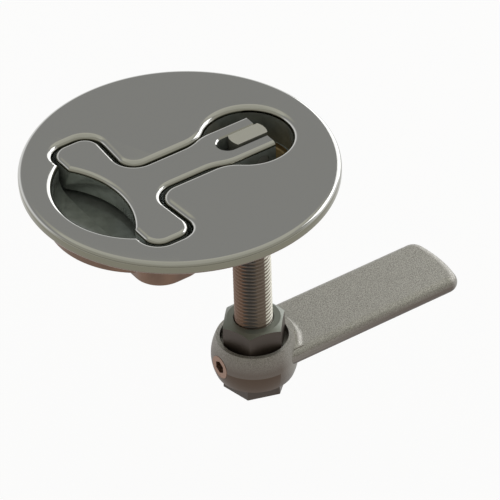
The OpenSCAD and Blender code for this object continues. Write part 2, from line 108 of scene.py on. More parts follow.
@dataclass(frozen=True)
class LatchPlan:
    """The driving sizes of the two castings on the flange, in plan."""

    flange_r: float = 38.1
    flange_t: float = 3.0
    shaft_x: float = 19.4
    handle_reach: float = 41.4
    arm_span: float = 44.8
    arm_w: float = 11.1
    arm_flare: float = 4.0
    arm_corner: float = 4.0
    stem_blend: float = 5.6
    stem_w: float = 9.6
    scoop_depth: float = 4.7
    scoop_r: float = 23.6
    scoop_corner: float = 1.3
    fork_w: float = 12.8
    fork_blend: float = 8.5
    fork_start: float = 7.0
    cam_low: float = 3.6
    fork_spare: float = 3.0
    pocket_gap: float = 0.9
    end_r: float = 10.8
    neck_r: float = 10.0

    @property
    def head_x(self) -> float:
        """Far side of the T grip."""
        return self.shaft_x - self.handle_reach

    def arm_side(self, y: float, d: float) -> float:
        """Where the arm's inner side lies at height y, moved outwards by d."""
        middle = self.arm_span / 2 - self.arm_corner - 1.4
        slope = sin(self.arm_flare) / cos(self.arm_flare)
        return self.head_x + self.arm_w + (y - middle) * slope + d / cos(self.arm_flare)

    def arm_half(self, d: float) -> Outline:
        """Upper half of the stem's blend and the arm, grown by d."""
        lean = self.arm_flare
        r = self.stem_blend - d
        cy = self.stem_w / 2 + self.stem_blend
        cx = self.arm_side(cy + r * sin(lean), d) + r * cos(lean)
        oy = self.arm_span / 2 - self.arm_corner
        ro = self.arm_corner + d
        ox = self.arm_side(oy - ro * sin(lean), d) - ro * cos(lean)
        return (
            arc(cx, cy, r, 270, 180 - lean)
            + arc(ox, oy, ro, -lean, 90)
            + arc(self.head_x + self.arm_corner, oy, ro, 90, 180)
        )

    def fork_half(self, d: float) -> Outline:
        """Upper half of the fork and its reverse curve into the stem, grown by d."""
        fork_y = self.fork_w / 2
        stem_y = self.stem_w / 2
        turn = 2 * math.degrees(math.atan((fork_y - stem_y) / self.fork_blend))
        r = self.fork_blend / sin(turn) / 2
        start = self.shaft_x - self.fork_start
        end = self.shaft_x + self.cam_low + self.fork_spare
        return (
            [(end, fork_y + d)]
            + arc(start, fork_y - r, r + d, 90, 90 + turn)
            + arc(start - self.fork_blend, stem_y + r, r - d, turn - 90, -90, 1)
        )

    def scoop_half(self, d: float, cut: float) -> Outline:
        """Upper half of the finger scoop, which cuts deeper by cut at the underside."""
        rc = self.scoop_corner + d
        cx = self.head_x + self.scoop_corner
        sx = self.head_x + self.scoop_depth - self.scoop_r
        rs = self.scoop_r + cut - d
        cy = math.sqrt((rs + rc) ** 2 - (cx - sx) ** 2)
        a = math.degrees(math.atan2(cy, cx - sx))
        return arc(cx, cy, rc, 180, 180 + a) + arc(sx, 0, rs, a, 0, 1, 40)

    def handle(self, d: float, cut: float) -> Outline:
        """Whole outline of the handle, grown by d, with its scoop deepened by cut."""
        half = self.fork_half(d) + self.arm_half(d) + self.scoop_half(d, cut)
        return half + mirrored(half[:-1])

    def pocket(self, d: float) -> Outline:
        """Whole outline of the pocket, grown by d."""
        y = self.stem_w / 2 + self.pocket_gap
        reach = math.sqrt((self.end_r + self.neck_r) ** 2 - (y + self.neck_r) ** 2)
        a = math.degrees(math.atan2(y + self.neck_r, -reach))
        half = (
            arc(self.shaft_x, 0, self.end_r + d, 0, a, 0, 48)
            + arc(self.shaft_x - reach, y + self.neck_r, self.neck_r - d, a - 180, -90, 1)
            + self.arm_half(self.pocket_gap + d)
        )
        return half + mirrored(half[1:])


# Meshes


def new_object(name: str, mesh: bpy.types.Mesh) -> bpy.types.Object:
    """Put a mesh into the scene as an object.

    Args:
        name: the object's name.
        mesh: its mesh, in metres.

    Returns:
        The new object.
    """
    obj = bpy.data.objects.new(name, mesh)
    bpy.context.scene.collection.objects.link(obj)
    return obj


def solid(name: str, points: list[tuple[float, float, float]], faces: list[list[int]]) -> bpy.types.Object:
    """Make an object from points in millimetres, with its faces turned outwards.

    Args:
        name: the object's name.
        points: corners in millimetres.
        faces: lists of corner numbers.

    Returns:
        The new object.
    """
    mesh = bpy.data.meshes.new(name)
    mesh.from_pydata([(x * MM, y * MM, z * MM) for x, y, z in points], [], faces)
    shape = bmesh.new()
    shape.from_mesh(mesh)
    bmesh.ops.remove_doubles(shape, verts=shape.verts, dist=1e-8)
    bmesh.ops.recalc_face_normals(shape, faces=shape.faces)
    shape.to_mesh(mesh)
    shape.free()
    return new_object(name, mesh)


def loft(name: str, layers: list[Outline], heights: list[float]) -> bpy.types.Object:
    """Make a solid through outlines of equal length, from below upwards.

    Args:
        name: the object's name.
        layers: the outlines.
        heights: each outline's height.

    Returns:
        The closed solid.
    """
    count = len(layers[0])
    points = [(x, y, z) for layer, z in zip(layers, heights) for x, y in layer]
    faces = [list(range(count))[::-1]]
    for k in range(len(layers) - 1):
        for i in range(count):
            a, b = k * count + i, k * count + (i + 1) % count
            faces.append([a, b, b + count, a + count])
    top = (len(layers) - 1) * count
    faces.append([top + i for i in range(count)])
    return solid(name, points, faces)


def turned(name: str, profile: Outline, centre: Point = (0.0, 0.0), steps: int = 192) -> bpy.types.Object:
    """Make a solid of revolution about a line along Z.

    Args:
        name: the object's name.
        profile: radius and height from the axis at the bottom to the axis at the top.
        centre: where the axis stands.
        steps: segments round a full turn.

    Returns:
        The closed solid.
    """
    rim = [p for p in profile if p[0] > 1e-6]
    points = [(centre[0], centre[1], profile[0][1]), (centre[0], centre[1], profile[-1][1])]
    for i in range(steps):
        t = 360 * i / steps
        points += [(centre[0] + r * cos(t), centre[1] + r * sin(t), z) for r, z in rim]
    faces = []
    rows = len(rim)
    for i in range(steps):
        a, b = 2 + i * rows, 2 + (i + 1) % steps * rows
        faces.append([0, b, a])
        faces.append([1, a + rows - 1, b + rows - 1])
        faces += [[a + k, b + k, b + k + 1, a + k + 1] for k in range(rows - 1)]
    return solid(name, points, faces)


def rounded_profile(r: float, z0: float, z1: float, low: float, high: float, steps: int = 12) -> Outline:
    """Profile of a round solid with a rounded lower and upper outer edge.

    Args:
        r: outer radius.
        z0: lowest height.
        z1: highest height.
        low: radius of the lower edge, or 0.
        high: radius of the upper edge, or 0.
        steps: segments on each rounded edge.

    Returns:
        Radius and height along the profile.
    """
    turns = [90 * i / steps for i in range(steps + 1)]
    below = [(r - low + low * sin(t), z0 + low - low * cos(t)) for t in turns] if low else [(r, z0)]
    above = [(r - high + high * cos(t), z1 - high + high * sin(t)) for t in turns] if high else [(r, z1)]
    return [(0.0, z0)] + below + above + [(0.0, z1)]


def block(name: str, low: tuple[float, float, float], high: tuple[float, float, float]) -> bpy.types.Object:
    """Make a box between two corners, as a cutter."""
    outline = [(low[0], low[1]), (high[0], low[1]), (high[0], high[1]), (low[0], high[1])]
    return loft(name, [outline, outline], [low[2], high[2]])


def bar(name: str, r: float, start: Vector, end: Vector, steps: int = 96) -> bpy.types.Object:
    """Make a round bar between two points.

    Args:
        name: the object's name.
        r: radius.
        start: centre of one end.
        end: centre of the other end.
        steps: segments round the bar.

    Returns:
        The closed bar.
    """
    length = (end - start).length
    obj = turned(name, [(0, 0), (r, 0), (r, length), (0, length)], (0.0, 0.0), steps)
    turn = (end - start).to_track_quat("Z", "Y").to_matrix().to_4x4()
    obj.data.transform(Matrix.Translation(start * MM) @ turn)
    return obj


class Cut(Enum):
    """How one solid changes another."""

    ADD = "UNION"
    TAKE = "DIFFERENCE"
    KEEP = "INTERSECT"


def combine(
    body: bpy.types.Object, tool: bpy.types.Object, cut: Cut, finish: bpy.types.Material | None = None
) -> bpy.types.Object:
    """Add one solid to another, take it away, or keep what both share.

    Args:
        body: the solid that changes.
        tool: the solid that changes it, which is used up.
        cut: what is done.
        finish: the material of the faces that the tool leaves, or None for the body's own.

    Returns:
        The changed body.
    """
    finish = finish or (body.data.materials[0] if body.data.materials else None)
    if finish:
        dress(tool, finish)
    modifier = body.modifiers.new("combine", "BOOLEAN")
    modifier.material_mode = "TRANSFER"
    modifier.operation = cut.value
    modifier.object = tool
    modifier.solver = "MANIFOLD"
    bpy.context.view_layer.update()
    graph = bpy.context.evaluated_depsgraph_get()
    result = bpy.data.meshes.new_from_object(body.evaluated_get(graph))
    if not result.polygons:
        raise RuntimeError(f"{cut.value} of {tool.name} left nothing of {body.name}")
    old = body.data
    body.modifiers.clear()
    body.data = result
    bpy.data.meshes.remove(old)
    bpy.data.objects.remove(tool)
    return body


def shade(obj: bpy.types.Object, sharp: float = 28.0) -> bpy.types.Object:
    """Shade curved faces smooth and flat faces flat.

    Args:
        obj: the piece.
        sharp: edges that turn more than this many degrees stay sharp.

    Returns:
        The same piece.
    """
    mesh = obj.data
    shape = bmesh.new()
    shape.from_mesh(mesh)
    bmesh.ops.remove_doubles(shape, verts=shape.verts, dist=2e-7)
    bmesh.ops.dissolve_degenerate(shape, edges=shape.edges, dist=1e-7)
    for face in shape.faces:
        face.smooth = not (abs(face.normal.z) > 0.99999 and face.calc_area() > 4e-6)
    for edge in shape.edges:
        if len(edge.link_faces) == 2:
            edge.smooth = edge.calc_face_angle(0.0) < math.radians(sharp)
    shape.to_mesh(mesh)
    shape.free()
    return obj


# Finishes


def add_node(tree: bpy.types.NodeTree, kind: str, inputs: dict | None = None, **settings: object) -> bpy.types.Node:
    """Add a node with its settings, values and links.

    Args:
        tree: the node tree that gets the node.
        kind: the node's type.
        inputs: values for its sockets by name or number; a socket as a value is linked.
        **settings: the node's own properties.

    Returns:
        The new node.
    """
    node = tree.nodes.new(kind)
    for name, value in settings.items():
        setattr(node, name, value)
    for key, value in (inputs or {}).items():
        if isinstance(value, bpy.types.NodeSocket):
            tree.links.new(value, node.inputs[key])
        else:
            node.inputs[key].default_value = value
    return node


def blank_material(name: str) -> tuple[bpy.types.Material, bpy.types.NodeTree, bpy.types.NodeSocket]:
    """Make an empty node material.

    Args:
        name: the material's name.

    Returns:
        The material, its node tree and its surface socket.
    """
    material = bpy.data.materials.new(name)
    material.use_nodes = True
    tree = material.node_tree
    tree.nodes.clear()
    output = add_node(tree, "ShaderNodeOutputMaterial")
    return material, tree, output.inputs["Surface"]


def noise(tree: bpy.types.NodeTree, size_mm: float, detail: float = 3.0) -> bpy.types.NodeSocket:
    """Noise in the piece's own space.

    Args:
        tree: the node tree.
        size_mm: the real size of one spot.
        detail: octaves of the noise.

    Returns:
        The noise's value socket, from 0 to 1.
    """
    place = add_node(tree, "ShaderNodeTexCoord")
    spots = {"Vector": place.outputs["Object"], "Scale": 1 / (size_mm * MM), "Detail": detail}
    return add_node(tree, "ShaderNodeTexNoise", spots).outputs["Fac"]


def ramp(tree: bpy.types.NodeTree, value: bpy.types.NodeSocket, stops: list[tuple[float, tuple]]) -> bpy.types.NodeSocket:
    """Colours along a value.

    Args:
        tree: the node tree.
        value: the socket that picks the colour.
        stops: places from 0 to 1, each with its linear colour.

    Returns:
        The colour socket.
    """
    node = add_node(tree, "ShaderNodeValToRGB", {"Fac": value})
    elements = node.color_ramp.elements
    while len(elements) < len(stops):
        elements.new(0.5)
    for element, (place, colour) in zip(elements, stops):
        element.position = place
        element.color = colour
    return node.outputs["Color"]


def facing(tree: bpy.types.NodeTree) -> bpy.types.NodeSocket:
    """How far a surface faces along the piece's own Z, from 0 for down to 1 for up."""
    place = add_node(tree, "ShaderNodeTexCoord")
    parts = add_node(tree, "ShaderNodeSeparateXYZ", {"Vector": place.outputs["Normal"]})
    limits = {"Value": parts.outputs["Z"], "From Min": -1.0, "From Max": 1.0}
    return add_node(tree, "ShaderNodeMapRange", limits).outputs["Result"]


def along(tree: bpy.types.NodeTree, kind: str, direction: tuple[float, float, float]) -> bpy.types.NodeSocket:
    """How far a texture coordinate lies along a direction in the piece's own space.

    Args:
        tree: the node tree.
        kind: "Normal" for the way a surface faces, or "Object" for its place in metres.
        direction: the direction, of length 1.

    Returns:
        The dot product's socket.
    """
    place = add_node(tree, "ShaderNodeTexCoord")
    values = {0: place.outputs[kind], 1: direction}
    return add_node(tree, "ShaderNodeVectorMath", values, operation="DOT_PRODUCT").outputs["Value"]


def spread(tree: bpy.types.NodeTree, value: bpy.types.NodeSocket, low: float, high: float) -> bpy.types.NodeSocket:
    """Stretch a value so that it runs from 0 at low to 1 at high, and stop it there."""
    limits = {"Value": value, "From Min": low, "From Max": high}
    return add_node(tree, "ShaderNodeMapRange", limits, clamp=True).outputs["Result"]


def blended(tree: bpy.types.NodeTree, share: bpy.types.NodeSocket, first: object, second: object) -> bpy.types.NodeSocket:
    """Mix two colours, given as sockets or as values, by a share from 0 to 1."""
    node = add_node(tree, "ShaderNodeMix", {0: share, 6: first, 7: second}, data_type="RGBA")
    return node.outputs[2]


@dataclass(frozen=True)
class PolishedCasting:
    """Polished cast 316 stainless steel.

    It was cast, ground and buffed to a mirror. The eye gets a flat neutral grey from the
    level faces, with bright rolled edges. Its base colour is painted reflection, set by the
    way each face turns: neutral grey on level faces, olive grey on upright sides and brown
    on faces turned down.
    """

    name: str = "polished_cast_316"
    top: str = "#C3C3C0"
    side: str = "#7C7A6C"
    low: str = "#6A5B50"
    roughness: float = 0.1

    def build(self) -> bpy.types.Material:
        """Build the material."""
        material, tree, surface = blank_material(self.name)
        low, side, top = srgb(self.low), srgb(self.side), srgb(self.top)
        # Painted reflection: the colour follows the way each face turns.
        stops = [(0.36, low), (0.48, side), (0.62, side), (0.8, top)]
        values = {
            "Base Color": ramp(tree, facing(tree), stops),
            "Metallic": 1.0,
            "Roughness": self.roughness,
        }
        shader = add_node(tree, "ShaderNodeBsdfPrincipled", values)
        tree.links.new(shader.outputs["BSDF"], surface)
        return material


@dataclass(frozen=True)
class GroundCasting:
    """Cast 316 stainless steel, as a half glossy copy of the polished finish.

    The eye gets a dark grey-green, half glossy metal inside the pocket and on the handle's
    hidden sides. That colour and the half diffuse gloss are painted reflection, which stands
    in for the dim light that bounces round inside the pocket.
    """

    name: str = "painted_pocket_reflection_316"
    light: str = "#A9AFAD"
    dark: str = "#959B98"
    metallic: float = 0.55
    roughness: float = 0.14
    cloud_mm: float = 2.5

    def build(self) -> bpy.types.Material:
        """Build the material."""
        material, tree, surface = blank_material(self.name)
        cloud = noise(tree, self.cloud_mm)
        # Painted reflection: the grey-green and the half diffuse gloss stand in for the pocket's dim inner light.
        values = {
            "Base Color": ramp(tree, cloud, [(0.3, srgb(self.dark)), (0.7, srgb(self.light))]),
            "Metallic": self.metallic,
            "Roughness": self.roughness,
        }
        shader = add_node(tree, "ShaderNodeBsdfPrincipled", values)
        tree.links.new(shader.outputs["BSDF"], surface)
        return material


@dataclass(frozen=True)
class CastSkin:
    """Cast 316 stainless steel for the casting's underside.

    The eye gets a warm brown, half dull skin with a faint cloudiness. The warm brown is
    painted reflection, which stands in for the dim, shaded floor that these faces reflect.
    """

    name: str = "painted_underside_reflection_316"
    light: str = "#776052"
    dark: str = "#604F45"
    roughness: float = 0.32
    cloud_mm: float = 6.0

    def build(self) -> bpy.types.Material:
        """Build the material."""
        material, tree, surface = blank_material(self.name)
        cloud = noise(tree, self.cloud_mm)
        # Painted reflection: the warm brown stands in for the shaded floor that these faces reflect.
        values = {
            "Base Color": ramp(tree, cloud, [(0.3, srgb(self.dark)), (0.7, srgb(self.light))]),
            "Metallic": 1.0,
            "Roughness": self.roughness,
        }
        shader = add_node(tree, "ShaderNodeBsdfPrincipled", values)
        tree.links.new(shader.outputs["BSDF"], surface)
        return material


@dataclass(frozen=True)
class TurnedSteel:
    """Turned stainless steel with a fine lay.

    The eye gets a dull metal, lighter on its level faces and warm on its sides; that split
    by the way a face turns is painted reflection.
    """

    name: str
    top: str
    side: str
    roughness: float
    metallic: float = 0.75
    grain_mm: float = 0.12
    bump: float = 0.04

    def build(self) -> bpy.types.Material:
        """Build the material."""
        material, tree, surface = blank_material(self.name)
        # Painted reflection: level faces take the top colour, sides the side colour.
        stops = [(0.0, srgb(self.side)), (0.6, srgb(self.side)), (0.9, srgb(self.top))]
        height = noise(tree, self.grain_mm)
        bump = add_node(tree, "ShaderNodeBump", {"Height": height, "Strength": self.bump, "Distance": 0.1 * MM})
        values = {
            "Base Color": ramp(tree, facing(tree), stops),
            "Metallic": self.metallic,
            "Roughness": self.roughness,
            "Normal": bump.outputs["Normal"],
        }
        shader = add_node(tree, "ShaderNodeBsdfPrincipled", values)
        tree.links.new(shader.outputs["BSDF"], surface)
        return material


@dataclass(frozen=True)
class RolledBar:
    """Thread-rolled 316 bar.

    The eye gets a warm brown thread and a pale upper end where the tang was milled. Its
    colours paint light and shade: the brown sides and pale upward faces are painted
    reflection, one side of the bar is painted a darker shade, a dark stripe of painted
    reflection runs along another side, and near-white painted glints sit on the thread's
    crests along one side.
    """

    name: str = "rolled_316_bar"
    top: str = "#B9B8B0"
    flank: str = "#8C7060"
    shade: str = "#7E7066"
    stripe: str = "#565250"
    crest: str = "#F4F2E8"
    milled: str = "#6E6E68"
    thread_top: float = -11.0
    r: float = 4.72
    stripe_side: tuple[float, float, float] = (-0.70, -0.714, 0.0)
    axis_x: float = 19.4
    stripe_reach: float = 4.27
    crest_side: tuple[float, float, float] = (0.835, -0.55, 0.0)
    crest_reach: float = 2.9
    crest_share: tuple[float, float] = (0.26, 0.16)
    metallic: float = 0.35
    roughness: float = 0.45

    def build(self) -> bpy.types.Material:
        """Build the material."""
        material, tree, surface = blank_material(self.name)
        across = (-self.stripe_side[1], self.stripe_side[0], 0.0)
        middle = self.axis_x * across[0]
        # Painted shade: one side of the bar goes over to the shade colour.
        turn = spread(tree, along(tree, "Object", across), (middle - 1) * MM, (middle + 1) * MM)
        flank = blended(tree, turn, srgb(self.flank), srgb(self.shade))
        # Painted reflection: a dark stripe along one side of the bar.
        edge = self.axis_x * self.stripe_side[0] + self.stripe_reach
        stripe = spread(tree, along(tree, "Object", self.stripe_side), edge * MM, (edge + 0.08) * MM)
        flank = blended(tree, stripe, flank, srgb(self.stripe))
        upward = along(tree, "Normal", (0.0, 0.0, 1.0))
        # Painted glint: near-white on the thread's crests along one side.
        edge = self.axis_x * self.crest_side[0] + self.crest_reach
        crest = spread(tree, along(tree, "Object", self.crest_side), edge * MM, (edge + 0.25) * MM)
        place = add_node(tree, "ShaderNodeTexCoord").outputs["Object"]
        level = add_node(tree, "ShaderNodeVectorMath", {0: place, 1: (1.0, 1.0, 0.0)}, operation="MULTIPLY")
        axis = {0: level.outputs["Vector"], 1: (self.axis_x * MM, 0.0, 0.0)}
        out = add_node(tree, "ShaderNodeVectorMath", axis, operation="DISTANCE").outputs["Value"]
        inner, outer = ((self.r - share) * MM for share in self.crest_share)
        worn = {0: crest, 1: spread(tree, out, inner, outer)}
        worn = add_node(tree, "ShaderNodeMath", worn, operation="MULTIPLY").outputs[0]
        flank = blended(tree, worn, flank, srgb(self.crest))
        high = along(tree, "Object", (0.0, 0.0, 1.0))
        tang = spread(tree, high, self.thread_top * MM, (self.thread_top + 0.1) * MM)
        flank = blended(tree, tang, flank, srgb(self.milled))
        # Painted reflection: faces turned up are pale.
        values = {
            "Base Color": blended(tree, spread(tree, upward, 0.8, 0.95), flank, srgb(self.top)),
            "Metallic": self.metallic,
            "Roughness": self.roughness,
        }
        shader = add_node(tree, "ShaderNodeBsdfPrincipled", values)
        tree.links.new(shader.outputs["BSDF"], surface)
        return material


@dataclass(frozen=True)
class BlastedCasting:
    """Investment-cast stainless steel, bead blasted, with a smooth band low on the hub.

    The eye gets a pale grey-beige skin with a fine, sharp grit, and a smooth dark brown band
    low on the hub's upright side, on its half towards the grip. Its light and shade are
    painted: sides facing one way are painted lighter, other upright sides darker, and faces
    turned down a dark brown painted shade. The grit is drawn twice as coarse as it is, so
    that it shows.
    """

    name: str = "blasted_cast_316"
    light: str = "#C2C0BA"
    dark: str = "#8D8B86"
    bright: str = "#A3A19B"
    wall: str = "#6A615A"
    low: str = "#463D36"
    band: str = "#54453A"
    band_top: float = -63.5
    band_end: float = 19.7
    grit_mm: float = 0.25
    metallic: float = 0.7
    roughness: float = 0.45

    def build(self) -> bpy.types.Material:
        """Build the material."""
        material, tree, surface = blank_material(self.name)
        # A smooth dark brown band without grit, low on the upright side of the hub's half towards the grip.
        level, end = -self.band_top * MM, -self.band_end * MM
        below = spread(tree, along(tree, "Object", (0.0, 0.0, -1.0)), level, level + 0.0001)
        behind = spread(tree, along(tree, "Object", (-1.0, 0.0, 0.0)), end, end + 0.0001)
        upright = spread(tree, facing(tree), 0.62, 0.58)
        turned = add_node(tree, "ShaderNodeMath", {0: below, 1: behind}, operation="MULTIPLY").outputs[0]
        turned = add_node(tree, "ShaderNodeMath", {0: turned, 1: upright}, operation="MULTIPLY").outputs[0]
        grit = noise(tree, self.grit_mm, 2.0)
        top = ramp(tree, grit, [(0.35, srgb(self.dark)), (0.65, srgb(self.light))])
        # Painted light: sides facing one way are painted lighter.
        right = spread(tree, along(tree, "Normal", (0.835, -0.55, 0.0)), 0.6, 1.0)
        wall = blended(tree, right, srgb(self.wall), srgb(self.bright))
        # Painted shade: faces turned down darken to the low colour.
        side = blended(tree, spread(tree, facing(tree), 0.2, 0.5), srgb(self.low), wall)
        # Level faces keep the grit colours; other faces take the painted shading.
        skin = blended(tree, spread(tree, facing(tree), 0.85, 0.55), top, side)
        rough = add_node(tree, "ShaderNodeMath", {0: 1.0, 1: turned}, operation="SUBTRACT").outputs[0]
        height = add_node(tree, "ShaderNodeMath", {0: grit, 1: rough}, operation="MULTIPLY").outputs[0]
        bump = add_node(tree, "ShaderNodeBump", {"Height": height, "Strength": 0.32, "Distance": 0.2 * MM})
        values = {
            "Base Color": blended(tree, turned, skin, srgb(self.band)),
            "Metallic": self.metallic,
            "Roughness": self.roughness,
            "Normal": bump.outputs["Normal"],
        }
        shader = add_node(tree, "ShaderNodeBsdfPrincipled", values)
        tree.links.new(shader.outputs["BSDF"], surface)
        return material


@dataclass(frozen=True)
class PlainStuff:
    """Rubber or acetal: a soft-looking dielectric with a slight mottle.

    The eye gets an even, low gloss, black from nitrile rubber and off-white from acetal.
    """

    name: str
    light: str
    dark: str
    roughness: float

    def build(self) -> bpy.types.Material:
        """Build the material."""
        material, tree, surface = blank_material(self.name)
        colour = ramp(tree, noise(tree, 0.8), [(0.3, srgb(self.dark)), (0.7, srgb(self.light))])
        values = {"Base Color": colour, "Roughness": self.roughness}
        shader = add_node(tree, "ShaderNodeBsdfPrincipled", values)
        tree.links.new(shader.outputs["BSDF"], surface)
        return material


def dress(obj: bpy.types.Object, material: bpy.types.Material) -> None:
    """Give a piece its material in every slot."""
    obj.data.materials.clear()
    obj.data.materials.append(material)


# Sub-assemblies


def buff(obj: bpy.types.Object, face: bpy.types.Material, level: float) -> None:
    """Give the faces above a level the face finish, whose painted reflection differs from the inside finish's.

    Args:
        obj: the piece, which has that finish in one of its slots.
        face: the face finish, with its painted reflection.
        level: height in millimetres above which faces take the face finish.
    """
    slot = list(obj.data.materials).index(face)
    for polygon in obj.data.polygons:
        if polygon.center.z > level * MM:
            polygon.material_index = slot


@dataclass
class Housing:
    """The flange with its pocket, finger recess, cup, guide sleeve and fixing bosses."""

    face: bpy.types.Material
    skin: bpy.types.Material
    inside: bpy.types.Material
    end: bpy.types.Material
    plan: LatchPlan = field(default_factory=LatchPlan)
    rim_round: float = 1.3
    rim_break: float = 0.6
    floor_z: float = -5.8
    end_floor_z: float = -7.05
    cup_wall: float = 2.0
    cup_round: float = 0.3
    end_round: float = 0.8
    end_step: float = 0.2
    lip_round: float = 1.45
    recess_rim: float = 6.3
    recess_r: float = 20.8
    recess_z: float = -4.5
    recess_round: float = 3.0
    sleeve_r: float = 9.0
    sleeve_len: float = 15.0
    sleeve_web: float = 2.6
    seat_r: float = 6.5
    bore_r: float = 4.8125
    boss_y: float = 23.8
    boss_r: float = 4.2
    boss_len: float = 8.0
    tap_r: float = 2.1
    tap_depth: float = 8.6

    @property
    def recess_x(self) -> float:
        """Centre of the finger recess's dish."""
        return self.recess_r + self.recess_rim - self.plan.flange_r

    def pocket(self) -> bpy.types.Object:
        """Build the pocket's cutter with its rounded lip."""
        top = self.plan.flange_t
        turns = [90 * i / 10 for i in range(11)]
        layers = [self.plan.pocket(0.0)]
        layers += [self.plan.pocket(self.lip_round * (1 - cos(t))) for t in turns]
        layers.append(self.plan.pocket(self.lip_round))
        heights = [self.floor_z] + [top - self.lip_round * (1 - sin(t)) for t in turns] + [top + 1]
        return loft("pocket", layers, heights)

    def recess(self) -> bpy.types.Object:
        """Build the finger recess's cutter, kept on the grip's side."""
        top = self.plan.flange_t
        turns = [90 * i / 12 for i in range(13)]
        inner = self.recess_r - self.recess_round
        profile = [(0.0, self.floor_z)]
        profile += [
            (inner + self.recess_round * sin(t), self.recess_z + self.recess_round * (1 - cos(t))) for t in turns
        ]
        profile += [(self.recess_r + self.lip_round * (1 - cos(t)), top - self.lip_round * (1 - sin(t))) for t in turns]
        profile += [(self.recess_r + self.lip_round, top + 1), (0.0, top + 1)]
        dish = turned("recess", profile, (self.recess_x, 0.0), 256)
        limit = self.plan.head_x + self.plan.arm_w / 2
        return combine(dish, block("limit", (-60, -60, -30), (limit, 60, 30)), Cut.KEEP)

    def shell(self) -> bpy.types.Object:
        """Build the shell under the finger recess."""
        low = self.recess_z - self.cup_wall
        profile = rounded_profile(self.recess_r + self.cup_wall, low, 0.01, self.cup_round, 0.0)
        dish = turned("shell", profile, (self.recess_x, 0.0), 256)
        limit = self.plan.head_x + self.plan.arm_w / 2
        return combine(dish, block("limit", (-60, -60, -30), (limit, 60, 30)), Cut.KEEP)

    def cup(self) -> bpy.types.Object:
        """Build the cup under the pocket, rounded below."""
        low = self.floor_z - self.cup_wall
        r = self.cup_round
        turns = [90 * i / 8 for i in range(9)]
        layers = [self.plan.pocket(self.cup_wall - r + r * sin(t)) for t in turns]
        layers.append(self.plan.pocket(self.cup_wall))
        return loft("cup", layers, [low + r - r * cos(t) for t in turns] + [0.01])

    def build(self) -> bpy.types.Object:
        """Build the whole casting."""
        x = self.plan.shaft_x
        top = self.plan.flange_t
        wall_r = self.plan.end_r + self.cup_wall + self.end_step
        low = self.end_floor_z - self.cup_wall
        flange = rounded_profile(self.plan.flange_r, 0.0, top, self.rim_break, self.rim_round, 16)
        body = turned("latch_housing", flange, steps=360)
        dress(body, self.face)
        combine(body, self.cup(), Cut.ADD, self.skin)
        combine(body, self.shell(), Cut.ADD, self.skin)
        end = rounded_profile(wall_r, low, 0.02, self.cup_round, 0.0)
        combine(body, turned("end", end, (x, 0.0)), Cut.ADD, self.skin)
        sleeve = rounded_profile(self.sleeve_r, low - self.sleeve_len, 0.03, 0.5, 0.0)
        combine(body, turned("sleeve", sleeve, (x, 0.0)), Cut.ADD, self.skin)
        for side in (-1, 1):
            boss = rounded_profile(self.boss_r, -self.boss_len, 0.04, 0.5, 0.0)
            combine(body, turned("boss", boss, (0.0, side * self.boss_y), 96), Cut.ADD, self.skin)
        combine(body, self.pocket(), Cut.TAKE, self.inside)
        combine(body, self.recess(), Cut.TAKE, self.inside)
        floor = rounded_profile(self.plan.end_r - self.end_step, self.end_floor_z, self.floor_z + 1, self.end_round, 0)
        combine(body, turned("floor", floor, (x, 0.0)), Cut.TAKE, self.end)
        bottom = low - self.sleeve_len - 1
        combine(body, bar("bore", self.bore_r, Vector((x, 0, bottom)), Vector((x, 0, 0))), Cut.TAKE)
        seat_top = self.end_floor_z - self.sleeve_web
        combine(body, bar("seat", self.seat_r, Vector((x, 0, bottom)), Vector((x, 0, seat_top))), Cut.TAKE)
        for side in (-1, 1):
            y = side * self.boss_y
            start = Vector((0, y, -self.boss_len - 1))
            end_point = Vector((0, y, self.tap_depth - self.boss_len))
            combine(body, bar("tap", self.tap_r, start, end_point, 48), Cut.TAKE)
        # The lip's faces take the face finish and its painted reflection.
        buff(body, self.face, top - self.lip_round - 0.02)
        return shade(body)


